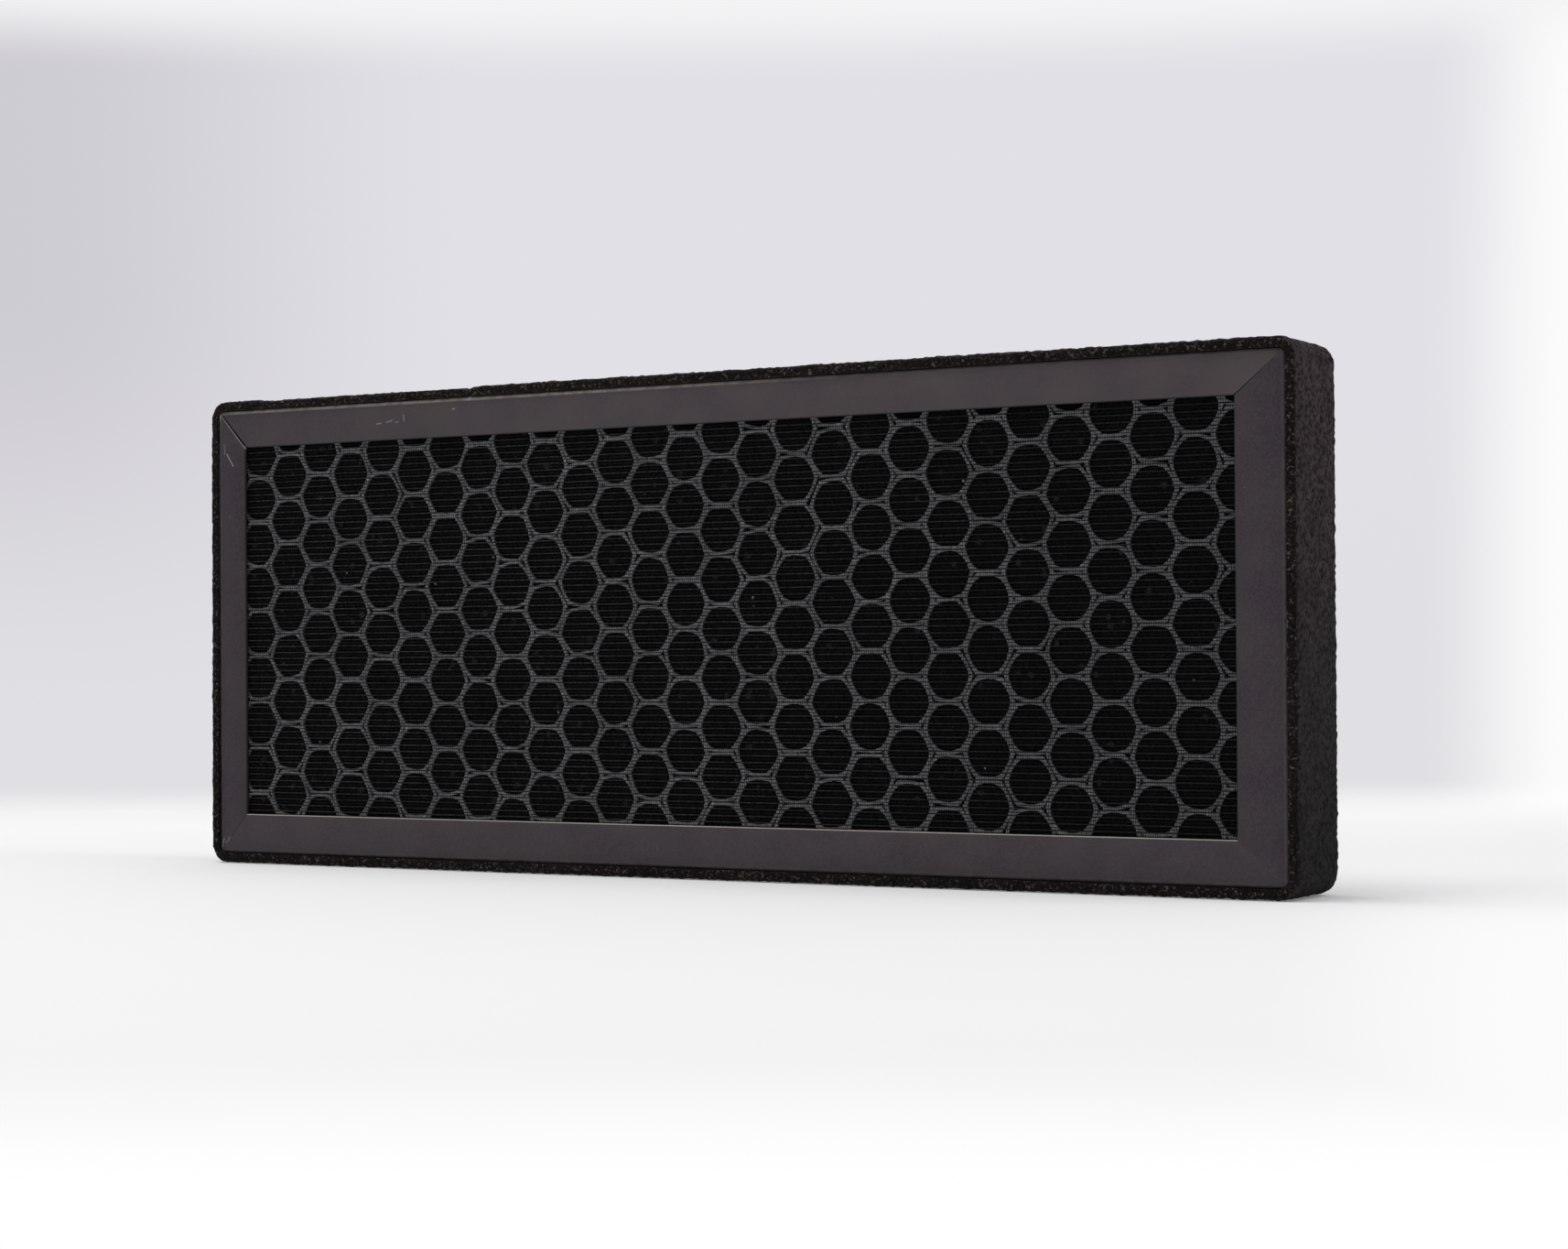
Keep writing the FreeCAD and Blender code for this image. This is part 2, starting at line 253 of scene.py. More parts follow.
# %% Group: pores of foam and of carbon
pore_group, given, result = new_group("pores", {"Size": 0.001}, ["Height", "Pit"])
places = scaled(given)
fine_grain = noise_at(places, Scale=1.7, Detail=5.0, Roughness=0.65)
height = calculate("ADD", times(cells_at(places)["Distance"], 0.3), fine_grain)
join(height, result["Height"])
join(ramp(height, 0.48, 0.82, 1.0, 0.0), result["Pit"])

# %% Group: separate specks of dust or of painted glint
speck_group, given, result = new_group("specks", {"Size": 0.002, "Radius": 0.08, "Share": 0.3})
pattern, radius = cells_at(scaled(given)), given["Radius"]
chance = add_node("ShaderNodeSeparateColor", {"Color": pattern["Color"]}).outputs["Red"]
kept = calculate("LESS_THAN", chance, given["Share"])
speck = ramp(pattern["Distance"], radius, times(radius, 1.5), 1.0, 0.0)
join(times(speck, kept), result["Mask"])

# %% Group: one short stroke from a start along a run
stroke_group, given, result = new_group("stroke", {"Start": None, "Run": None, "Width": 0.0001})
run, width = given["Run"], given["Width"]
from_start = vector_math("SUBTRACT", given["Vector"], given["Start"])
travelled = vector_math("DOT_PRODUCT", from_start, run)
run_squared = vector_math("DOT_PRODUCT", run, run)
share_of_run = calculate("DIVIDE", travelled, run_squared, clamp=True)
from_line = vector_math("DISTANCE", from_start, vector_math("SCALE", run, share_of_run))
join(ramp(from_line, times(width, 0.5), width, 1.0, 0.0), result["Mask"])
print("node groups:", sorted(group.name for group in bpy.data.node_groups))


# %% Helpers for materials
def new_material(name, roughness, specular):
    """A material with its shader and the object's own coordinates."""
    material = bpy.data.materials.new(name)
    material.use_nodes = True
    shader = material.node_tree.nodes["Principled BSDF"]
    shader.inputs["Roughness"].default_value = roughness
    shader.inputs["Specular IOR Level"].default_value = specular
    places = add_node("ShaderNodeTexCoord", {}, material.node_tree).outputs["Object"]
    return material, shader, places


def use_group(group, places, **inputs):
    """The outputs of a node group placed in a material."""
    return add_node("ShaderNodeGroup", {"Vector": places, **inputs}, node_tree=group).outputs


def grain(places, size):
    """Soft grain whose patches have about one size."""
    return use_group(grain_group, places, Size=size)["Value"]


def specks(places, size, radius, share):
    """A round speck in a share of the cells of one size, with a radius in cells."""
    return use_group(speck_group, places, Size=size, Radius=radius, Share=share)["Mask"]


def named_value(places, name):
    """A number that the mesh carries for each point or face."""
    made = add_node("ShaderNodeAttribute", {}, places.id_data, attribute_name=name)
    return made.outputs["Fac"]


def connect(shader, colour, height, depth, roughness=None):
    """Joins a colour, a bump with a depth in metres and a roughness to the shader."""
    made = add_node("ShaderNodeBump", {"Height": height, "Distance": depth, "Strength": 1.0})
    join(made.outputs["Normal"], shader.inputs["Normal"])
    join(colour, shader.inputs["Base Color"])
    if roughness is not None:
        join(roughness, shader.inputs["Roughness"])


# %% [markdown]
# The card is a matt black board, a little purple in the light. Its folds are rubbed and show a pale
# line, and where it is cut, a dark core shows, with a painted highlight on the rims that face up.
# The upper flange is painted paler than the others, and the lower one a little, as painted light
# from above. The mesh carries these places as named values, so the paint follows the folds and
# cuts.

# %% Card
card, shader, places = new_material("black_card", roughness=0.62, specular=0.2)
mottle = grain(places, 7 * MM)
fibre = grain(places, 0.35 * MM)
# The paler board is the same board painted as if lit, and the mesh says how much of it each flange
# gets.
dark_board = mix_colour(mottle, (54, 46, 54), (62, 55, 59))
painted_lit_board = mix_colour(mottle, (71, 64, 68), (80, 73, 74))
cut_and_highlight = named_value(places, "cut")
highlight_rim = ramp(named_value(places, "rim"), 0.3, 0.7)
edge = named_value(places, "fold")
worn = use_group(wear_group, places, Edge=edge, Size=2.6 * MM, Amount=0.65)["Mask"]
slanted = {"Rotation": (0.0, math.radians(28), 0.0), "Scale": (1.0, 1.0, 0.45)}
turned = add_node("ShaderNodeMapping", {"Vector": places, **slanted}).outputs["Vector"]
scratched = use_group(scratch_group, turned, Size=7 * MM, Share=0.03)["Mask"]
colour = painted(
    mix_colour(named_value(places, "painted_light"), dark_board, painted_lit_board),
    (fibre, (88, 82, 84), 0.26),
    # A dark core shows on cut faces, and a painted highlight on the rims of those that face up.
    (ramp(cut_and_highlight, 0.0, 0.2), (46, 41, 43)),
    (times(ramp(cut_and_highlight, 0.3, 1.0), highlight_rim), (164, 157, 151)),
    (worn, (202, 192, 182)),
    (scratched, (120, 114, 116), 0.4),
)

# %% [markdown]
# A filter that has been handled bears a few marks. Each is a short stroke on the front flanges,
# at its place in the picture.

# %% Small marks on the card
# Millimetres across and up, then the run of each mark in millimetres and its strength
front_marks = (
    (-100.2, 75.0, 0.2, -1.8, 0.35),
    (-99.5, 73.2, 1.5, -2.2, 0.7),
    (-65.7, 77.1, 1.0, 0.1, 0.5),
    (-63.5, 77.3, 1.2, 0.3, 0.5),
    (-61.7, 77.2, 0.8, 0.1, 0.35),
    (-59.9, 78.4, 0.2, -1.0, 0.55),
    (-49.3, 78.9, 0.4, 0.1, 0.8),
    (-101.2, 2.6, 0.6, 1.7, 0.5),
    (-100.2, 3.5, 1.1, 1.2, 0.4),
)
mark_width = 0.12 * MM
flat_places = vector_math("MULTIPLY", places, (1.0, 0.0, 1.0))
marks = 0.0
for x, z, run_x, run_z, strength in front_marks:
    start, run = Vector((x, 0, z)) * MM, Vector((run_x, 0, run_z)) * MM
    mark = use_group(stroke_group, flat_places, Start=start, Run=run, Width=mark_width)
    mark = times(mark["Mask"], strength)
    marks = calculate("MAXIMUM", mark, marks)
on_front = calculate("LESS_THAN", parts_of(places)["Y"], 0.0)
dust = specks(places, 5 * MM, radius=0.03, share=0.25)
colour = painted(
    colour, (times(marks, on_front), (170, 164, 162)), (dust, (130, 126, 126), 0.5)
)
relief = calculate("ADD", fibre, times(mottle, 0.6))
connect(shader, colour, relief, 0.03 * MM, ramp(mottle, 0.0, 1.0, 0.56, 0.68))
print("marks on the card:", len(front_marks))

# %% [markdown]
# The foam is black and open-celled. Most of its grain is relief in the mesh, and the material adds
# what is smaller: painted shade in the pits, and on the sawn edges, which the mesh marks, a painted
# highlight on thin ribs. The skin is also painted paler towards the top, as painted light from
# above.

# %% Foam
foam, shader, places = new_material("black_foam", roughness=0.9, specular=0.08)
pores = use_group(pore_group, places, Size=1.0 * MM)
fine_pores = use_group(pore_group, places, Size=0.55 * MM)
patch = grain(places, 6 * MM)
# The upper skin is painted paler as painted light from above, and the paint goes from the lower
# skin to it on the way up.
painted_lit_skin = mix_colour(patch, (70, 61, 63), (82, 72, 74))
lower_skin = mix_colour(patch, (47, 45, 45), (56, 53, 53))
painted_light_upwards = ramp(parts_of(places)["Z"], 10 * MM, 75 * MM)
sawn_share = named_value(places, "sawn")
sawn_colour = mix_colour(patch, (24, 19, 18), (33, 27, 26))
# The pits get painted shade, and thin ribs on the sawn edges a painted highlight.
colour = painted(
    mix_colour(painted_light_upwards, lower_skin, painted_lit_skin),
    (sawn_share, sawn_colour),
    (pores["Pit"], (12, 10, 10), 0.85),
    (times(ramp(fine_pores["Height"], 0.7, 0.9), sawn_share), (108, 98, 92), 0.85),
)
connect(shader, colour, pores["Height"], 0.5 * MM)

# %% [markdown]
# The net is woven from black polyester. Each thread is smooth and takes a soft gloss, and its black
# changes a little from one crossing to the next. The thick wefts are painted paler as a painted
# sheen, which is darker on the right.

# %% Net thread
thread, shader, places = new_material("black_thread", roughness=0.6, specular=0.05)
crossings = grain(places, 0.5 * MM)
to_right = ramp(parts_of(places)["X"], -30 * MM, 70 * MM, 0.0, 0.6)
dark_yarn = mix_colour(crossings, (5, 5, 5), (13, 13, 13))
# The pale yarn is a painted sheen for the thick wefts, darker towards the right.
painted_sheen_yarn = mix_colour(crossings, (30, 30, 31), (62, 62, 63))
painted_sheen_yarn = painted(painted_sheen_yarn, (to_right, (22, 22, 23)))
colour = mix_colour(named_value(places, "painted_light"), dark_yarn, painted_sheen_yarn)
colour = painted(colour, (grain(places, 9 * MM), (14, 14, 14), 0.5))
connect(shader, colour, crossings, 0.02 * MM)

# %% [markdown]
# The honeycomb is bonded from short grey plastic tubes, with a painted glint here and there on
# their sawn ends. The tubes are darker towards the right. Carbon dust darkens the ends in patches,
# and the walls further in are painted nearly black as painted shade inside the cells.

# %% Tube plastic
tube_plastic, shader, places = new_material("grey_tube_plastic", roughness=0.6, specular=0.2)
streak = grain(places, 0.6 * MM)
# Painted glints on some spots of the sawn ends.
painted_glint = specks(places, 1.2 * MM, radius=0.16, share=0.3)
to_right = ramp(parts_of(places)["X"], -10 * MM, 90 * MM, 0.0, 0.4)
# Painted shade: the walls go nearly black further inside the cells.
painted_shade_further_in = ramp(parts_of(places)["Y"], core_low.y + 0.22 * MM, core_low.y + 0.6 * MM)
colour = painted(
    mix_colour(streak, (128, 129, 130), (166, 167, 168)),
    (grain(places, 11 * MM), (92, 92, 94), 0.35),
    (painted_glint, (205, 207, 207), 0.7),
    (to_right, (100, 100, 103)),
    (painted_shade_further_in, (24, 24, 25)),
)
connect(shader, colour, streak, 0.04 * MM)

# %% [markdown]
# Activated carbon is nearly black and dull, with painted glints on a few broken faces, some soft
# and some bright. The pits of the pore group do for its porous skin, and they are painted darker as
# painted shade.

# %% Carbon
carbon, shader, places = new_material("activated_carbon", roughness=0.75, specular=0.07)
pores = use_group(pore_group, places, Size=0.3 * MM)
# The pits are painted darker as painted shade, and specks paint soft and bright glints.
colour = painted(
    mix_colour(pores["Pit"], (25, 25, 25), (5, 5, 5)),
    (specks(places, 2.2 * MM, radius=0.2, share=0.2), (84, 82, 82), 0.5),
    (specks(places, 3.2 * MM, radius=0.06, share=0.12), (190, 186, 182)),
)
dullness = ramp(pores["Pit"], 0.0, 1.0, 0.5, 0.9)
connect(shader, colour, pores["Height"], 0.08 * MM, dullness)

# %% [markdown]
# The paper of the pleated pack is a white glass-fibre felt. It is slightly cloudy where the fibres
# lie thicker, and a few specks of dust sit on it.

# %% Filter paper
paper, shader, places = new_material("white_filter_felt", roughness=0.9, specular=0.2)
fibre = grain(places, 0.25 * MM)
colour = painted(
    mix_colour(grain(places, 5 * MM), (236, 235, 231), (245, 244, 241)),
    (fibre, (222, 220, 214), 0.25),
    (specks(places, 3 * MM, radius=0.05, share=0.2), (150, 146, 140), 0.35),
)
connect(shader, colour, fibre, 0.05 * MM)

# %% [markdown]
# Hot melt glue is milky and smooth. It is a little uneven and picks up some dust while it sets.

# %% Hot melt glue
glue, shader, places = new_material("milky_glue", roughness=0.32, specular=0.5)
flow = grain(places, 2.5 * MM)
colour = painted(
    mix_colour(flow, (226, 222, 208), (238, 235, 225)),
    (specks(places, 2 * MM, radius=0.06, share=0.2), (160, 152, 138), 0.4),
)
connect(shader, colour, flow, 0.12 * MM, ramp(flow, 0.0, 1.0, 0.25, 0.42))
print("materials:", sorted(material.name for material in bpy.data.materials))

# %% [markdown]
# Some more helpers pick out edges and points, and place copies of a small pattern.


# %% Helpers for meshes
def clamped(value, low=0.0, high=1.0):
    """A value kept between two limits."""
    return min(max(value, low), high)


def edges_along(mesh_data, direction):
    """The edges that run along one direction."""
    return [
        edge
        for edge in mesh_data.edges
        if abs((edge.verts[1].co - edge.verts[0].co).normalized().dot(direction)) > 0.99
    ]


def cut_along(mesh_data, direction, cuts):
    """Cuts the edges that run along one direction into short lengths."""
    bmesh.ops.subdivide_edges(
        mesh_data, edges=edges_along(mesh_data, direction), cuts=cuts, use_grid_fill=True
    )


def points_in(made):
    """The points among what a bmesh operator made."""
    return [item for item in made["geom"] if isinstance(item, bmesh.types.BMVert)]


def as_mesh(mesh_data, name):
    """A mesh made from a bmesh, which ends with it."""
    mesh = bpy.data.meshes.new(name)
    mesh_data.to_mesh(mesh)
    mesh_data.free()
    return mesh


def place_copy(mesh_data, pattern, matrix):
    """Adds a copy of a pattern where a matrix puts it, and gives the copy's points."""
    mesh_data.verts.ensure_lookup_table()
    known = len(mesh_data.verts)
    mesh_data.from_mesh(pattern)
    mesh_data.verts.ensure_lookup_table()
    added = mesh_data.verts[known:]
    bmesh.ops.transform(mesh_data, matrix=matrix, verts=added)
    return added


def finish_piece(mesh_data, name, material, replaced, sharp_angle=40):
    """An object from a bmesh, riding on the cassette in the place of a CAD node."""
    bmesh.ops.recalc_face_normals(mesh_data, faces=mesh_data.faces)
    mesh = as_mesh(mesh_data, name)
    mesh.materials.append(material)
    mesh.shade_smooth()
    mesh.set_sharp_from_angle(angle=math.radians(sharp_angle))
    piece = bpy.data.objects.new(name, mesh)
    bpy.context.scene.collection.objects.link(piece)
    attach(piece, "root")
    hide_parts(replaced)
    mesh.calc_loop_triangles()
    print(name, "has", len(mesh.loop_triangles), "triangles")
    return piece


# %% [markdown]
# The card frame is one strip of board, scored and folded so that a flange turns in along the front
# and another along the back. Each of its four sides is a channel: the profile is drawn once as an
# open line, extruded along the side, bevelled at the two scores and cut at both ends by a mitre.
# Solidify then gives the board its thickness. Board springs back at a score, so each fold lies a
# little deeper than the flange's free edge, and that tilts the flanges and lights them differently.

# %% Corners and seams of the card frame
spring_back = 0.3 * MM
fold_radius = 0.85 * MM
run_out = 1.5 * MM
proud_corner = 0.28 * MM
room_in_front = 0.3 * MM
left, right = card_low.x, card_high.x
bottom, top = card_low.z, card_high.z
# The outer and the inner end of each seam
corners = {}
for level, outer_z, inner_z in (("top", top, window_top), ("bottom", bottom, window_bottom)):
    for hand, outer_x, inner_x in (("left", left, window_left), ("right", right, window_right)):
        ends = Vector((outer_x, 0, outer_z)), Vector((inner_x, 0, inner_z))
        corners[f"{level}_{hand}"] = ends
# Half of each seam's gap at its outer and its inner end
seam_gaps = {
    "top_left": (0.16 * MM, 0.3 * MM),
    "top_right": (0.01 * MM, 0.12 * MM),
    "bottom_right": (0.01 * MM, 0.03 * MM),
    "bottom_left": (0.02 * MM, 0.03 * MM),
}
order = list(seam_gaps)
card_sides = list(zip(order, order[1:] + order[:1]))
print("seams in mm:", {name: round(2 * gap[1] / MM, 2) for name, gap in seam_gaps.items()})


# %% One side of the card frame
def cut_mitre(side, corner, away):
    """Cuts the end of a side along the seam of a corner, leaving half of the seam's gap."""
    outer, inner = corners[corner]
    outer_gap, inner_gap = seam_gaps[corner]
    outer, inner = outer - away * outer_gap, inner - away * inner_gap
    across = (inner - outer).cross(INWARDS).normalized()
    if across.dot(away) < 0:
        across = -across
    everything = side.verts[:] + side.edges[:] + side.faces[:]
    bmesh.ops.bisect_plane(
        side, geom=everything, dist=1e-7, plane_co=outer, plane_no=across, clear_outer=True
    )


def card_channel(first, last):
    """One side of the card frame, from one corner to the next, as a bmesh."""
    start, end = corners[first][0], corners[last][0]
    along = (end - start).normalized()
    inward = (corners[first][1] - start).project(Vector((along.z, 0, -along.x)))
    front, back = card_low.y + room_in_front, card_high.y
    profile = [
        inward + INWARDS * front,
        INWARDS * (front + spring_back),
        INWARDS * (back - spring_back),
        inward + INWARDS * back,
    ]
    side = bmesh.new()
    points = [side.verts.new(start - along * run_out + point) for point in profile]
    line = [side.edges.new(pair) for pair in zip(points, points[1:])]
    swept = points_in(bmesh.ops.extrude_edge_only(side, edges=line))
    bmesh.ops.translate(side, verts=swept, vec=(end - start) + 2 * along * run_out)
    scores = [edge for edge in side.edges if len(edge.link_faces) == 2]
    bmesh.ops.bevel(
        side, geom=scores, offset=fold_radius, segments=4, profile=0.5,
        affect="EDGES", material=-1,
    )
    cut_along(side, along, 23)
    cut_mitre(side, first, -along)
    cut_mitre(side, last, along)
    if last == "top_left":
        # The open seam at the top left lets this flange stand proud there.
        for vert in side.verts:
            if vert.co.y < 0:
                vert.co.y -= proud_corner * max(0.0, (vert.co.z - bottom) / (top - bottom))
    centre = UP * (bottom + top) / 2
    facing_in = [
        face for face in side.faces if face.normal.dot(face.calc_center_median() - centre) < 0
    ]
    bmesh.ops.reverse_faces(side, faces=facing_in)
    return side


# %% Join the sides and give the board its thickness
card_mesh = bmesh.new()
for first, last in card_sides:
    side = card_channel(first, last)
    bmesh.ops.solidify(side, geom=side.faces[:], thickness=card_thickness)
    along = (corners[last][0] - corners[first][0]).normalized()
    rims = [
        edge
        for edge in edges_along(side, along)
        if len(edge.link_faces) == 2 and edge.calc_face_angle() > math.radians(70)
    ]
    bmesh.ops.bevel(
        side, geom=rims, offset=0.13 * MM, segments=1, profile=0.5, affect="EDGES", material=-1
    )
    holder = as_mesh(side, "card_side")
    card_mesh.from_mesh(holder)
    bpy.data.meshes.remove(holder)
print("card faces:", len(card_mesh.faces))

# %% [markdown]
# The paint needs four things from the mesh. Cut is where the core shows, and it is highest on cut
# faces that face up, where a highlight is painted; rim is the edge of a cut, fold is where a crease
# is rubbed, most on the left of the top, and the tone is painted light on each flange: the upper
# flange is painted palest, less so at its left end, and the lower one a little.


# %% Mark cuts, rims and folds
def from_outside(place):
    """How far a place is from the nearest of the card frame's four sides."""
    return min(place.x - left, right - place.x, place.z - bottom, top - place.z)


cut = card_mesh.faces.layers.float.new("cut")
rim = card_mesh.verts.layers.float.new("rim")
for face in card_mesh.faces:
    place = face.calc_center_median()
    normal = face.normal
    mitred = abs(normal.y) < 0.3 and abs(normal.x) > 0.4 and abs(normal.z) > 0.4
    if mitred or (from_outside(place) > 1.2 * MM and abs(normal.y) < 0.92):
        # Cut faces that face up get the higher value, which marks where a highlight is painted on
        # their rims.
        face[cut] = 1.0 if normal.z > 0.3 else 0.3
        for vert in face.verts:
            if abs(vert.co.y) > abs(place.y) or abs(normal.y) > 0.3:
                vert[rim] = 1.0
fold = card_mesh.verts.layers.float.new("fold")
for vert in card_mesh.verts:
    from_face = min(vert.co.y - card_low.y, card_high.y - vert.co.y)
    near = max(0.0, 1 - abs(from_outside(vert.co) - 0.4 * MM) / (0.38 * MM))
    towards_right = clamped((vert.co.x + 10 * MM) / (40 * MM))
    on_top = 1.0 - 0.85 * towards_right if top - vert.co.z < 1.2 * MM else 0.12
    vert[fold] = near * on_top if from_face < 1.6 * MM else 0.0
print("faces that are cut:", sum(face[cut] > 0 for face in card_mesh.faces))

# %% Mark the painted light on each flange
painted_light = card_mesh.verts.layers.float.new("painted_light")
margin = 0.2 * MM
for vert in card_mesh.verts:
    above = (vert.co.z - window_top + margin) / top_flange
    below = (window_bottom - vert.co.z + margin) / bottom_flange
    beside = max(
        (window_left - vert.co.x + margin) / left_flange,
        (vert.co.x - window_right + margin) / right_flange,
    )
    # Painted light: the upper flange is painted paler, less so at its left end, and the lower one a
    # little.
    towards_left = clamped((-40 * MM - vert.co.x) / (60 * MM))
    if above > max(beside, 0):
        vert[painted_light] = 1.0 - 0.55 * towards_left
    elif below > max(beside, 0):
        vert[painted_light] = 0.35

# %% Let the flanges wave a little
for vert in card_mesh.verts:
    if from_outside(vert.co) > 1.5 * MM:
        lift = noise.noise(vert.co / (42 * MM)) * 0.12 * MM
        vert.co.y += lift if vert.co.y < 0 else -lift
for vert in card_mesh.verts:
    vert.co.y = clamped(vert.co.y, card_low.y, card_high.y)
finish_piece(card_mesh, "folded_card", card, "card_frame", sharp_angle=50)

# %% [markdown]
# The seal is one strip of soft foam, stuck round the card with its ends meeting on top. It starts
# as a long flat bar, which is easy to bevel and to subdivide evenly. The bar is then wound round
# the card by moving its points, and noise pushes them in and out, because the strip was cut from
# a block and the knife leaves half-open cells.

# %% Cut the bar
strip_thickness = foam_high.z - card_high.z
strip_width = foam_high.y - foam_low.y
corner_radius = 3.5 * MM
joint_x = -46 * MM
joint_gap = 0.35 * MM
corner_run = ("corner", math.pi / 2 * corner_radius)
upright_run = ("straight", foam_high.z - foam_low.z - 2 * corner_radius)
runs = [
    ("straight", foam_high.x - corner_radius - joint_x - joint_gap / 2),
    corner_run,
    upright_run,
    corner_run,
    ("straight", foam_high.x - foam_low.x - 2 * corner_radius),
    corner_run,
    upright_run,
    corner_run,
    ("straight", joint_x - joint_gap / 2 - foam_low.x - corner_radius),
]
strip_length = sum(length for _, length in runs)
grain_step = 0.5 * MM
strip = bmesh.new()
bar = Matrix.Diagonal((strip_length, strip_width, strip_thickness, 1))
bar = Matrix.Translation((strip_length / 2, 0, strip_thickness / 2)) @ bar
bmesh.ops.create_cube(strip, size=1, matrix=bar)
outer_long = [e for e in edges_along(strip, ACROSS) if e.verts[0].co.z > strip_thickness / 2]
bmesh.ops.bevel(
    strip, geom=outer_long, offset=0.7 * MM, segments=3, profile=0.5, affect="EDGES", material=-1
)
wide_edges = [e for e in edges_along(strip, INWARDS) if e.calc_length() > strip_width / 2]
bmesh.ops.subdivide_edges(
    strip, edges=wide_edges, cuts=round(strip_width / grain_step), use_grid_fill=True
)
cut_along(strip, UP, 2)
cut_along(strip, ACROSS, round(strip_length / grain_step))
print("foam strip is", round(strip_length / MM), "mm long, with", len(strip.verts), "points")


# %% Find a place on the wound strip
def wound(distance, height):
    """Place across and up, and the outward direction, of a point of the bar after winding."""
    place = Vector((joint_x + joint_gap / 2, 0, foam_high.z))
    heading = Vector((1, 0, 0))
    for number, (kind, length) in enumerate(runs, start=1):
        outward = Vector((-heading.z, 0, heading.x))
        if distance <= length or number == len(runs):
            break
        distance -= length
        if kind == "straight":
            place += heading * length
        else:
            place += (heading - outward) * corner_radius
            heading = -outward
    if kind == "straight":
        place += heading * distance
    else:
        centre = place - outward * corner_radius
        turn = distance / corner_radius
        outward = outward * math.cos(turn) + heading * math.sin(turn)
        place = centre + outward * corner_radius
    return place - outward * (strip_thickness - height), outward


# %% Wind the bar round the card
foam_wave = 0.06 * MM
skin_loss = 0.14 * MM
last_stretch = 46 * MM
sawn = strip.verts.layers.float.new("sawn")
for vert in strip.verts:
    distance, depth, height = vert.co
    place, outward = wound(distance, height)
    place.y = depth + (foam_low.y + foam_high.y) / 2
    outer_share = height / strip_thickness
    from_edge = strip_width / 2 - abs(depth)
    vert[sawn] = 1.0 if from_edge < 0.12 * MM else 0.0
    # Half-open cells: broad lumps, sharp little pits and a fine fuzz.
    cells = noise.voronoi(place / (1.0 * MM))[0][0]
    lumps = noise.noise(place / (1.9 * MM))
    fuzz = noise.noise(place / (0.6 * MM))
    move = (0.08 * lumps + 0.2 * (cells - 0.6) + 0.17 * fuzz) * MM
    sideways = 0.5 * move if from_edge < 0.01 * MM else 0.0
    # The strip sits slack in places, and its last stretch is pressed a little thinner.
    slack = noise.noise(Vector((distance / (30 * MM), 3.7, 0))) * foam_wave
    thin = 0.22 * MM if distance > strip_length - last_stretch else 0.0
    place += outward * (move - skin_loss + slack - thin) * outer_share
    place.y += math.copysign(sideways, depth)
    vert.co = place
print("foam is wound from", round(joint_x / MM), "mm and back to it")

# %% Open the joint and keep the strip on its floor
joint_reach = 1.2 * MM
joint_opening = 0.35 * MM
for vert in strip.verts:
    from_joint = abs(vert.co.x - joint_x)
    if vert.co.z > card_high.z and from_joint < joint_reach:
        notch = (1 - from_joint / joint_reach) * (vert.co.z - card_high.z) / strip_thickness
        vert.co.x += math.copysign(joint_opening * notch, vert.co.x - joint_x)
        vert.co.z -= joint_opening * notch
    vert.co.z = max(vert.co.z, foam_low.z)
foam_strip = finish_piece(strip, "foam_strip", foam, "foam_seal", sharp_angle=80)

# %% [markdown]
# The front net keeps the carbon in. It is woven, with a thick and a thin weft in turn, and with the
# painted sheen on the thick wefts that is what makes the fine level lines in the picture. At this
# size the threads' waves can't be seen, so each thread is a straight square rod, turned on its edge
# to catch light on its upper side.

# %% Weave the front net
weft_pitch = 0.54 * MM
warp_pitch = 0.39 * MM
weft_sizes = (0.145 * MM, 0.08 * MM)
warp_size = 0.058 * MM
hem = 0.1 * MM
net_middle = (net_low + net_high) / 2
net_size = net_high - net_low
random.seed(11)
net_mesh = bmesh.new()
painted_light = net_mesh.verts.layers.float.new("painted_light")


def add_rod(place, size, axis):
    """Adds a square rod to the net, turned on its edge about its length."""
    shape = Matrix.Rotation(math.radians(45), 4, axis) @ Matrix.Diagonal((*size, 1))
    matrix = Matrix.Translation(place) @ shape
    return bmesh.ops.create_cube(net_mesh, size=1, matrix=matrix)["verts"]


weft_count = int((net_size.z - 2 * hem) / weft_pitch) + 1
for row in range(weft_count):
    level = net_low.z + hem + row * weft_pitch + random.gauss(0, 0.02) * MM
    wide = weft_sizes[row % 2] * random.uniform(0.92, 1.08)
    place = (net_middle.x, net_middle.y - 0.01 * MM, level)
    rod = add_rod(place, (net_size.x, wide, wide), "X")
    # Thick wefts get a strong painted sheen, thin ones a weak one.
    shade = random.uniform(0.75, 1.0) if row % 2 == 0 else random.uniform(0.1, 0.35)
    for vert in rod:
        vert[painted_light] = shade
warp_count = int((net_size.x - 2 * hem) / warp_pitch) + 1
for column in range(warp_count):
    x = net_low.x + hem + column * warp_pitch + random.gauss(0, 0.015) * MM
    place = (x, net_middle.y + 0.02 * MM, net_middle.z)
    add_rod(place, (warp_size, warp_size, net_size.z), "Z")
woven_net = finish_piece(net_mesh, "woven_net", thread, "front_net")
print("net:", weft_count, "weft and", warp_count, "warp threads")

# %% [markdown]
# The honeycomb is a block of short tubes, bonded where they touch. That is why each cell is nearly
# round, each wall is double and a small dark gap is left where three tubes meet. Four tubes are
# modelled, each pressed harder than the one before: two rings of points are bridged and drawn
# back. Copies of them are set out in the staggered columns of the CAD cells, and soft noise
# shifts whole regions together, as pressing the block does.

# %% Model four tubes
cell_pitch = 8.0 * MM
column_pitch = cell_pitch * math.sqrt(3) / 2
tube_wall = 0.41 * MM
tube_sides = 18
tube_depth = core_high.y - core_low.y
outer_squareness = 0.76


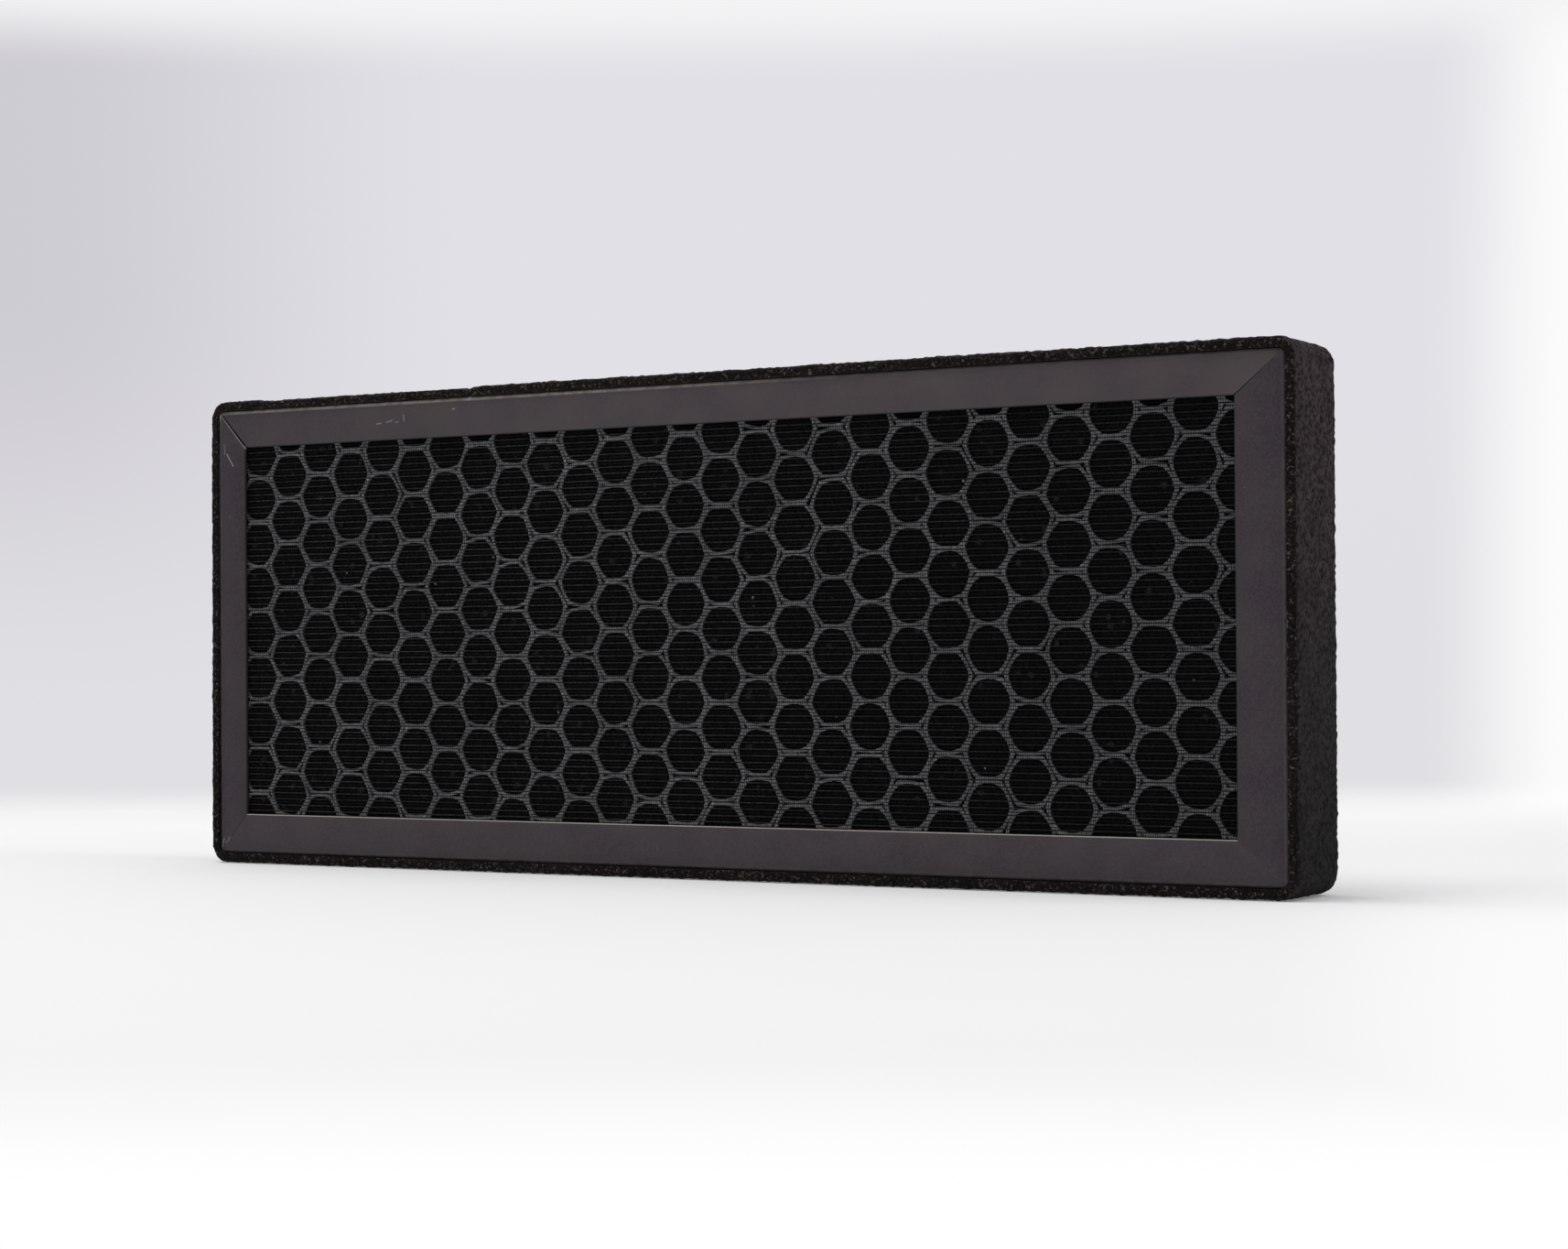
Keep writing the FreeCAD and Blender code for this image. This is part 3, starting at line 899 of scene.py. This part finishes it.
def pressed_radius(angle, radius, squareness):
    """Radius of a tube that its six neighbours press towards a hexagon."""
    from_flat = (angle - math.radians(30)) % math.radians(60)
    from_flat = min(from_flat, math.radians(60) - from_flat)
    return radius * (1 + squareness * (1 / math.cos(from_flat) - 1))


facing_front = Matrix.Rotation(math.radians(90), 4, "X")
# A circle starts at its top, so half a step of turn brings its points to the six corners.
half_step = Matrix.Rotation(math.pi / tube_sides, 4, "Z")
tube_patterns = []
for inner_squareness in (0.25, 0.4, 0.55, 0.7):
    tube = bmesh.new()
    for radius, squareness in (
        (cell_pitch / 2 + 0.02 * MM, outer_squareness),
        (cell_pitch / 2 - tube_wall, inner_squareness),
    ):
        ring = bmesh.ops.create_circle(
            tube, segments=tube_sides, radius=radius, matrix=facing_front @ half_step
        )
        for vert in ring["verts"]:
            angle = math.atan2(vert.co.z, vert.co.x)
            vert.co = vert.co.normalized() * pressed_radius(angle, radius, squareness)
    bmesh.ops.bridge_loops(tube, edges=tube.edges[:])
    drawn = bmesh.ops.extrude_face_region(tube, geom=tube.faces[:], use_keep_orig=True)
    bmesh.ops.translate(tube, verts=points_in(drawn), vec=(0, tube_depth, 0))
    bmesh.ops.recalc_face_normals(tube, faces=tube.faces)
    tube_patterns.append(as_mesh(tube, "tube_pattern"))
print("one tube has", len(tube_patterns[0].polygons), "faces")

# %% Find where the tubes stand
random.seed(23)
column_count = 28
region_size = 34 * MM
other_noise = Vector((9.1, 4.2, 7.7))
cells = []
for column in range(column_count):
    x = window_left + 2.4 * MM + column * column_pitch
    rows = range(-1, 8) if column % 2 else range(9)
    for row in rows:
        stagger = cell_pitch / 2 if column % 2 else 0
        z = window_top - 1.4 * MM - row * cell_pitch - stagger
        spot = Vector((x, 0, z))
        across_drift = noise.noise(spot / region_size)
        up_drift = noise.noise(spot / region_size + other_noise)
        drift = Vector((across_drift, 0, up_drift)) * 0.55 * MM
        small = Vector((random.gauss(0, 0.05), 0, random.gauss(0, 0.05))) * MM
        cells.append(spot + drift + small)
print("cells:", len(cells))

# %% Set out the tubes
hardest = len(tube_patterns) - 1
core_mesh = bmesh.new()
for cell in cells:
    # Tubes on the left were pressed harder, so their openings are more like hexagons.
    pressed = round(1.1 - cell.x / (80 * MM) + random.gauss(0, 0.5))
    squash = random.gauss(0, 0.012)
    slant = math.radians(random.gauss(0, 4))
    sink = random.uniform(0.0, 0.1) * MM
    growth = random.gauss(1.0, 0.008)
    shape = Matrix.Diagonal((growth + squash, 1, growth - squash, 1))
    place = Matrix.Translation((cell.x, core_low.y + sink, cell.z))
    matrix = place @ (Matrix.Rotation(slant, 4, "Y") @ shape)
    for vert in place_copy(core_mesh, tube_patterns[clamped(pressed, 0, hardest)], matrix):
        # The sawn end is a touch uneven, and the far end stays against the back net.
        if vert.co.y < core_low.y + tube_depth / 2:
            vert.co.y += random.uniform(0.0, 0.06) * MM
        else:
            vert.co.y = core_high.y
        vert.co.x = clamped(vert.co.x, core_low.x, core_high.x)
        vert.co.z = clamped(vert.co.z, core_low.z, core_high.z)
finish_piece(core_mesh, "honeycomb_tubes", tube_plastic, "honeycomb_core")

# %% [markdown]
# Each cell is filled with broken carbon. Only its front layer can be seen, so a cell holds a plug
# for the depth of the fill, and some thirty lumps half sunk in it. Ten fillings are modelled and
# placed again and again, each time turned another way, so the eye finds no repeat.

# %% Model ten fillings
random.seed(5)
fill_radius = cell_pitch / 2 - tube_wall - 0.1 * MM
filling_count, plug_sides, most_lumps, most_tries = 10, 12, 27, 400
lump_spacing = 0.85 * MM
fill_patterns = []
for _ in range(filling_count):
    filling = bmesh.new()
    bmesh.ops.create_circle(
        filling, cap_ends=True, segments=plug_sides, radius=fill_radius, matrix=facing_front
    )
    plug = bmesh.ops.extrude_face_region(filling, geom=filling.faces[:], use_keep_orig=True)
    bmesh.ops.translate(filling, verts=points_in(plug), vec=(0, carbon_high.y - carbon_low.y, 0))
    placed = []
    for _ in range(most_tries):
        if len(placed) == most_lumps:
            break
        reach = (fill_radius - 0.45 * MM) * math.sqrt(random.random())
        around = random.uniform(0, 2 * math.pi)
        spot = Vector((reach * math.cos(around), 0, reach * math.sin(around)))
        if all((spot - other).length > lump_spacing for other in placed):
            placed.append(spot)
    for spot in placed:
        size = random.uniform(0.5, 0.78) * MM
        stretch = Matrix.Diagonal((
            random.uniform(0.8, 1.25), random.uniform(0.6, 0.9), random.uniform(0.8, 1.25), 1
        ))
        angle = random.uniform(0, 6.28)
        spin = Matrix.Rotation(angle, 4, Vector([random.gauss(0, 1) for _ in range(3)]))
        sunk = Matrix.Translation(spot + INWARDS * random.uniform(-0.1, 0.3) * MM)
        bmesh.ops.create_icosphere(
            filling, subdivisions=1, radius=size, matrix=sunk @ spin @ stretch
        )
    fill_patterns.append(as_mesh(filling, "filling_pattern"))
lump_points = len(fill_patterns[0].vertices) - 2 * plug_sides
print("lumps in the first filling:", lump_points // 12)

# %% Fill the cells
fill_mesh = bmesh.new()
for cell in cells:
    if cell.z > core_high.z - fill_radius or cell.z < core_low.z + fill_radius:
        continue
    if cell.x < core_low.x + fill_radius or cell.x > core_high.x - fill_radius:
        continue
    pattern = random.choice(fill_patterns)
    turned = Matrix.Rotation(random.uniform(0, 2 * math.pi), 4, "Y")
    place_copy(fill_mesh, pattern, Matrix.Translation((cell.x, carbon_low.y, cell.z)) @ turned)
finish_piece(fill_mesh, "loose_carbon", carbon, "carbon_granules", sharp_angle=20)

# %% [markdown]
# Behind the carbon lies the fine filter, one sheet folded to and fro. A row of points makes the
# zigzag, bevelling the points rounds the folds, and the line is drawn up to the full height.
# The folds aren't quite even, because the sheet is only held by glue.

# %% Fold the paper
random.seed(41)
fold_count = 104
paper_thickness = 0.35 * MM
paper_length = paper_high.x - paper_low.x
paper_height = paper_high.z - paper_low.z
fold_run = paper_length / fold_count
pleats = bmesh.new()
points = []
for step in range(fold_count + 1):
    drift = random.gauss(0, 0.09) * MM if 0 < step < fold_count else 0.0
    if step % 2:
        depth = paper_high.y - paper_thickness / 2 + random.uniform(-0.2, 0.0) * MM
    else:
        depth = paper_low.y + paper_thickness / 2 + random.uniform(0.0, 0.2) * MM
    points.append(pleats.verts.new((paper_low.x + step * fold_run + drift, depth, paper_low.z)))
for pair in zip(points, points[1:]):
    pleats.edges.new(pair)
bmesh.ops.bevel(
    pleats, geom=points[1:-1], offset=0.7 * MM, segments=3, profile=0.5,
    affect="VERTICES", material=-1,
)
raised = bmesh.ops.extrude_edge_only(pleats, edges=pleats.edges[:])
bmesh.ops.translate(pleats, verts=points_in(raised), vec=(0, 0, paper_height))
cut_along(pleats, UP, 11)
for vert in pleats.verts:
    # The sheet waves between its ends, where the glue holds it.
    free = math.sin(math.pi * (vert.co.z - paper_low.z) / paper_height)
    wave_place = Vector((vert.co.x / (9 * MM), vert.co.z / (25 * MM), 0))
    vert.co.x += noise.noise(wave_place) * 0.3 * MM * free
bmesh.ops.recalc_face_normals(pleats, faces=pleats.faces)
bmesh.ops.solidify(pleats, geom=pleats.faces[:], thickness=paper_thickness)
for vert in pleats.verts:
    vert.co.x = clamped(vert.co.x, paper_low.x, paper_high.x)
    vert.co.y = clamped(vert.co.y, paper_low.y, paper_high.y)
finish_piece(pleats, "folded_paper", paper, "pleated_paper", sharp_angle=60)
print("pleats:", fold_count // 2)

# %% [markdown]
# Three lines of hot melt glue cross the pleats at the back and keep them apart. The glue is laid
# on while it is hot, so it swells over each tip and sinks between two tips. Each line is a round
# bar, cut into short lengths, whose points are then moved by a wave with the pleats' own pitch.

# %% Lay the glue lines
glue_lines = bmesh.new()
line_count = 3
line_radius = 0.9 * MM
lowest_line = glue_low.z + line_radius
line_gap = (glue_high.z - line_radius - lowest_line) / (line_count - 1)
for number in range(line_count):
    level = lowest_line + number * line_gap
    place = Matrix.Translation(((glue_low.x + glue_high.x) / 2, 0, level))
    bmesh.ops.create_cone(
        glue_lines,
        cap_ends=True,
        segments=10,
        radius1=line_radius,
        radius2=line_radius,
        depth=glue_high.x - glue_low.x,
        matrix=place @ Matrix.Rotation(math.radians(90), 4, "Y"),
    )
cut_along(glue_lines, ACROSS, 300)
for vert in glue_lines.verts:
    phase = (vert.co.x - paper_low.x) / (2 * fold_run)
    on_tip = 0.5 - 0.5 * math.cos(2 * math.pi * phase)
    number = round((vert.co.z - lowest_line) / line_gap)
    level = lowest_line + number * line_gap
    swell = min(0.7 + 0.4 * on_tip + 0.12 * noise.noise(vert.co / (3 * MM)), 1.15)
    wander = noise.noise(Vector((vert.co.x / (35 * MM), number * 5.3, 0))) * 0.15 * MM
    vert.co.z = level + (vert.co.z - level) * swell * 0.95 + wander
    middle = glue_high.y - 0.25 * MM - (1 - on_tip) * 0.5 * MM
    vert.co.y = middle + vert.co.y / line_radius * 0.25 * MM * min(swell, 1.0)
finish_piece(glue_lines, "glue_lines", glue, "glue_beads", sharp_angle=70)

# %% [markdown]
# The back net and the glue round the pleated pack are hidden inside the card, and their CAD
# shapes are right as they are. They keep their meshes and take the finishes of thread and glue.

# %% Dress the CAD nodes that stay
for name, material in (("back_net", thread), ("edge_sealant", glue)):
    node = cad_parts[name]
    if not node.material_slots:
        node.data.materials.append(material)
    for slot in node.material_slots:
        slot.material = material
    print(name, "wears", material.name)

# %% [markdown]
# The cassette stands on a pale table in a studio. The picture's background is nearly white and
# a little lavender at the left, so the table and the air behind it take those colours only where
# the camera, a reflection or glass looks at them. Light on the cassette stays plain.


# %% Helpers for what the camera sees behind the cassette
flat_forward = Vector((camera_forward.x, camera_forward.y, 0)).normalized()
flat_right = Vector((flat_forward.y, -flat_forward.x, 0))
HAZE, GLARE, WHITE = (224, 223, 227), (251, 251, 251), (255, 255, 255)


def into_and_aside(vector):
    """How far a place or a direction goes into the picture, and how far to the right."""
    into = vector_math("DOT_PRODUCT", vector, flat_forward)
    return into, vector_math("DOT_PRODUCT", vector, flat_right)


def seen_directly(into, one_sided=False):
    """One where a ray comes from the camera, a reflection or glass, and zero elsewhere.

    Where it is one-sided, reflections find the pale wall only into the picture, and the dim
    studio on the other side.
    """
    path = add_node("ShaderNodeLightPath", {}, into.id_data).outputs
    reflected = path["Is Glossy Ray"]
    if one_sided:
        reflected = times(reflected, ramp(into, 0.2, 0.6))
    straight = calculate("MAXIMUM", path["Is Camera Ray"], reflected)
    return calculate("MAXIMUM", straight, path["Is Transmission Ray"])


# %% Table
table_mesh = bmesh.new()
bmesh.ops.create_grid(table_mesh, x_segments=8, y_segments=8, size=4.0)
table = bpy.data.objects.new("table", as_mesh(table_mesh, "table"))
bpy.context.scene.collection.objects.link(table)
table_paint, shader, places = new_material("pale_table", roughness=0.75, specular=0.1)
shader.inputs["Base Color"].default_value = screen_colour(254, 254, 254)
table.data.materials.append(table_paint)

# %% Colours of the table
# Distances on the table are measured from the place below the camera, in metres.
foot = Vector((camera_place.x, camera_place.y, 0))
into, aside = into_and_aside(vector_math("SUBTRACT", places, foot))
spread = calculate("DIVIDE", aside, calculate("MAXIMUM", into, 0.05))
closest = ramp(into, 0.26, 0.205)
near_colour = painted(
    mix_colour(grain(places, 60 * MM), (250, 250, 250), (253, 253, 253)),
    (closest, WHITE),
    (ramp(spread, 0.12, 0.24), WHITE),
)
far_colour = mix_colour(ramp(spread, 0.207, 0.258), HAZE, GLARE)
seen_colour = mix_colour(ramp(into, 0.64, 0.92), near_colour, far_colour)
# The rest of the table shows real light and the cassette's shadow.
far_off = ramp(into, 0.55, 0.8, 0.15, 1.0)
close_by = ramp(into, 0.53, 0.38)
at_side = times(ramp(spread, 0.12, 0.25, 0.0, 0.7), close_by)
set_aside = calculate("MAXIMUM", far_off, at_side)
set_aside = calculate("MAXIMUM", set_aside, ramp(into, 0.3, 0.2))
set_aside = times(seen_directly(into), set_aside)
glow = add_node("ShaderNodeEmission", {"Color": seen_colour, "Strength": 1.0}).outputs[0]
surface = add_node("ShaderNodeMixShader", {0: set_aside, 1: shader.outputs[0], 2: glow})
table_output = table_paint.node_tree.nodes["Material Output"]
join(surface.outputs[0], table_output.inputs["Surface"])

# %% Air behind the table
studio = bpy.data.worlds.new("studio")
bpy.context.scene.world = studio
studio.use_nodes = True
direction = add_node("ShaderNodeTexCoord", {}, studio.node_tree).outputs["Generated"]
into, aside = into_and_aside(direction)
height = parts_of(direction)["Z"]
lavender = mix_colour(ramp(aside, -0.245, -0.09), (206, 204, 211), (225, 224, 230))
sky_colour = painted(
    lavender,
    (ramp(height, 0.12, -0.02), HAZE),
    (ramp(aside, 0.203, 0.25), GLARE),
    (ramp(height, 0.188, 0.214), (243, 243, 244)),
)
plain_light = {"Color": (0.96, 0.97, 1.0, 1.0), "Strength": 0.42}
plain = add_node("ShaderNodeBackground", plain_light, studio.node_tree).outputs[0]
shown = add_node("ShaderNodeBackground", {"Color": sky_colour, "Strength": 1.0}).outputs[0]
mask = seen_directly(into, one_sided=True)
surface = add_node("ShaderNodeMixShader", {0: mask, 1: plain, 2: shown})
world_output = next(item for item in studio.node_tree.nodes if item.type == "OUTPUT_WORLD")
join(surface.outputs[0], world_output.inputs["Surface"])

# %% [markdown]
# One wide soft lamp hangs above and in front, and a weaker one stands at the right. The card's
# upper flange, which leans back a little, is then the lightest of the four, as in the picture, and
# painted light in its colour makes it paler still.


# %% Lamps
def soft_lamp(name, place, target, width, height, power, colour):
    """A rectangular lamp that looks at a place."""
    data = bpy.data.lights.new(name, "AREA")
    data.shape = "RECTANGLE"
    data.size, data.size_y = width, height
    data.energy = power
    data.color = colour
    lamp = bpy.data.objects.new(name, data)
    lamp.location = place
    aim = Vector(target) - Vector(place)
    lamp.rotation_euler = aim.to_track_quat("-Z", "Y").to_euler()
    bpy.context.scene.collection.objects.link(lamp)
    print(name, "is", round(aim.length, 2), "m away at", power, "W")


heart = (0, 0, 0.04)
soft_lamp("overhead", (-0.28, -0.2, 0.98), heart, 0.8, 0.6, 5.6, (1.0, 0.985, 0.98))
soft_lamp("right_side", (0.6, 0.1, 0.8), heart, 0.4, 0.4, 1.3, (0.98, 0.98, 1.0))
